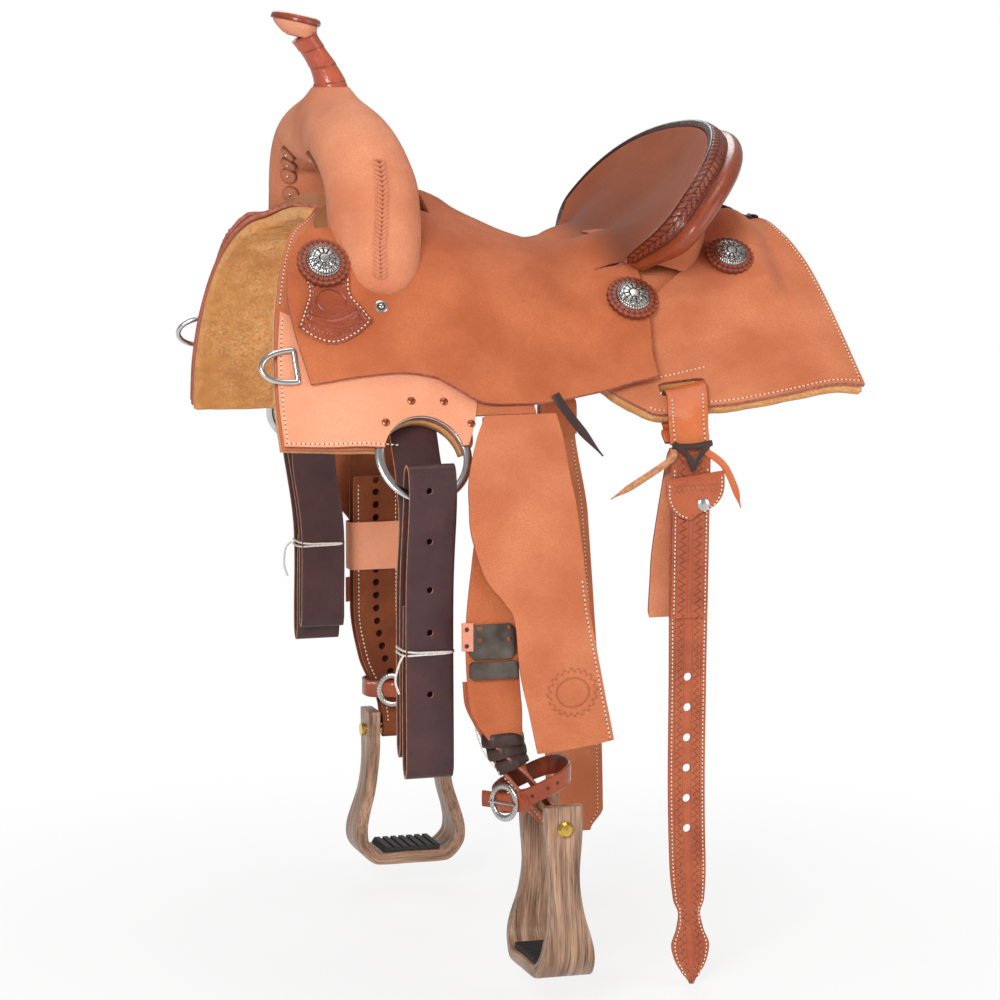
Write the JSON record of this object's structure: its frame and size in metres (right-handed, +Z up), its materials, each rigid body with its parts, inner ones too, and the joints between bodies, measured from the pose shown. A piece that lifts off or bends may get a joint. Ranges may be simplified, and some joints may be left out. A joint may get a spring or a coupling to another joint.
{
  "type": "western riding saddle",
  "caption": "Western barrel racing saddle: deep rough-out seat, swell fork with horn, skirts on fleece, rigging rings, billets and turned stirrups on hinged leathers.",
  "frame": {"origin": "on the centre plane, on top of the horse's back or stand that carries the saddle, under the seat", "axes": "+Z up, -X to the horse's head, so +X to the rear, -Y to the near (left) side and +Y to the off side"},
  "size_m": [0.6474, 0.6615, 1.0243],
  "materials": {
    "rough_leather": "rough-out suede leather, reddish tan",
    "light_leather": "smooth light tan skirting leather",
    "tooled_leather": "chestnut leather, tooled and oiled",
    "dark_leather": "dark burgundy latigo leather",
    "fleece": "golden tan fleece, long pile",
    "wood": "dark varnished wood, worn",
    "tree_wood": "plain pine under a hide cover",
    "steel": "bright stainless steel",
    "dark_steel": "dull blackened steel",
    "brass": "worn brass",
    "rubber": "black ribbed rubber",
    "silver": "engraved silver plate"
  },
  "bodies": {
    "saddle": {"fork_cover": "rough_leather", "fork_core": "tree_wood", "horn_cap": "tooled_leather", "horn_core": "dark_steel", "horn_wrap": "tooled_leather", "cantle_board": "tree_wood", "cantle_dish": "rough_leather", "cantle_binding": "tooled_leather", "seat_leather": "rough_leather", "near_tree_bar": "tree_wood", "near_front_skirt": "rough_leather", "near_rear_skirt": "rough_leather", "near_fleece": "fleece", "near_rigging_leather": "light_leather", "near_rigging_ring": "steel", "near_billet_loop": "tooled_leather", "near_front_concho": "silver", "near_seat_concho": "silver", "near_rear_concho": "silver", "near_latigo_keeper": "tooled_leather", "off_tree_bar": "tree_wood", "off_front_skirt": "rough_leather", "off_rear_skirt": "rough_leather", "off_fleece": "fleece", "off_rigging_leather": "light_leather", "off_rigging_ring": "steel", "off_billet_loop": "tooled_leather", "off_front_concho": "silver", "off_seat_concho": "silver", "off_rear_concho": "silver", "off_latigo_keeper": "tooled_leather"},
    "near_hanging_leather": {"near_stirrup_hanger": "rough_leather"},
    "near_fender_and_leather": {"near_fender": "rough_leather", "near_stirrup_leather": "rough_leather", "near_stud_plate": "dark_steel", "near_hobble_strap": "tooled_leather", "near_hobble_buckle": "silver"},
    "near_sleeve": {"near_buckle_sleeve": "dark_steel"},
    "near_tongue": {"near_buckle_tongue": "silver"},
    "near_stirrup_set": {"near_stirrup": "wood", "near_tread_pad": "rubber", "near_stirrup_bolt": "brass"},
    "near_dee": {"near_front_dee": "steel"},
    "off_hanging_leather": {"off_stirrup_hanger": "rough_leather"},
    "off_fender_and_leather": {"off_fender": "rough_leather", "off_stirrup_leather": "rough_leather", "off_stud_plate": "dark_steel", "off_hobble_strap": "tooled_leather", "off_hobble_buckle": "silver"},
    "off_sleeve": {"off_buckle_sleeve": "dark_steel"},
    "off_tongue": {"off_buckle_tongue": "silver"},
    "off_stirrup_set": {"off_stirrup": "wood", "off_tread_pad": "rubber", "off_stirrup_bolt": "brass"},
    "off_dee": {"off_front_dee": "steel"},
    "near_latigo_strap": {"near_latigo": "dark_leather"},
    "off_billet_strap": {"off_billet": "dark_leather"},
    "near_billet_strap": {"near_rear_billet": "tooled_leather", "near_billet_keeper": "tooled_leather"},
    "off_cinch_strap": {"off_flank_cinch": "rough_leather"}
  },
  "joints": [
    {"name": "near_leather_swing", "type": "hinge", "parent": "saddle", "child": "near_hanging_leather", "pos_m": [-0.058, -0.12233, 0.0094], "axis": [0, 0.7659, -0.6429], "range_deg": [-8, 1.5]},
    {"name": "near_fender_lift", "type": "hinge", "parent": "near_hanging_leather", "child": "near_fender_and_leather", "pos_m": [-0.058, -0.218, -0.12], "axis": [-1, 0, 0], "range_deg": [0, 60]},
    {"name": "near_stirrup_swing", "type": "hinge", "parent": "near_fender_and_leather", "child": "near_stirrup_set", "pos_m": [-0.031, -0.28, -0.535], "axis": [0, 1, 0], "range_deg": [-12, 30]},
    {"name": "near_sleeve_slide", "type": "slide", "parent": "near_fender_and_leather", "child": "near_sleeve", "axis": [-0.0365, 0, 0.9993], "range_m": [0, 0.022]},
    {"name": "near_dee_swing", "type": "hinge", "parent": "saddle", "child": "near_dee", "pos_m": [-0.2785, -0.19777, -0.06393], "axis": [-0.0583, 0.3752, 0.9251], "range_deg": [0, 80]},
    {"name": "off_leather_swing", "type": "hinge", "parent": "saddle", "child": "off_hanging_leather", "pos_m": [-0.058, 0.12233, 0.0094], "axis": [0, 0.7659, 0.6429], "range_deg": [-8, 1.5]},
    {"name": "off_fender_lift", "type": "hinge", "parent": "off_hanging_leather", "child": "off_fender_and_leather", "pos_m": [-0.058, 0.218, -0.12], "axis": [1, 0, 0], "range_deg": [0, 60]},
    {"name": "off_stirrup_swing", "type": "hinge", "parent": "off_fender_and_leather", "child": "off_stirrup_set", "pos_m": [-0.031, 0.28, -0.545], "axis": [1, 0, 0], "range_deg": [-30, 30]},
    {"name": "off_sleeve_slide", "type": "slide", "parent": "off_fender_and_leather", "child": "off_sleeve", "axis": [-0.0458, 0, 0.9989], "range_m": [0, 0.022]},
    {"name": "off_dee_swing", "type": "hinge", "parent": "saddle", "child": "off_dee", "pos_m": [-0.2785, 0.19777, -0.06393], "axis": [0.0583, 0.3752, -0.9251], "range_deg": [0, 80]},
    {"name": "near_tongue_lift", "type": "hinge", "parent": "near_fender_and_leather", "child": "near_tongue", "pos_m": [-0.10275, -0.29794, -0.507], "axis": [0, 0, -1], "range_deg": [0, 60]},
    {"name": "off_tongue_lift", "type": "hinge", "parent": "off_fender_and_leather", "child": "off_tongue", "pos_m": [-0.0571, 0.25326, -0.495], "axis": [0, 0, -1], "range_deg": [0, 60]},
    {"name": "near_latigo_swing", "type": "hinge", "parent": "saddle", "child": "near_latigo_strap", "pos_m": [-0.154, -0.25935, -0.19785], "axis": [-1, 0, 0], "range_deg": [0, 30]},
    {"name": "off_billet_swing", "type": "hinge", "parent": "saddle", "child": "off_billet_strap", "pos_m": [-0.154, 0.25935, -0.19785], "axis": [1, 0, 0], "range_deg": [0, 30]},
    {"name": "near_rear_billet_swing", "type": "hinge", "parent": "saddle", "child": "near_billet_strap", "pos_m": [0.142, -0.2375, -0.156], "axis": [-1, 0, 0], "range_deg": [0, 40]},
    {"name": "off_flank_cinch_swing", "type": "hinge", "parent": "saddle", "child": "off_cinch_strap", "pos_m": [0.142, 0.2375, -0.158], "axis": [1, 0, 0], "range_deg": [0, 60]}
  ]
}
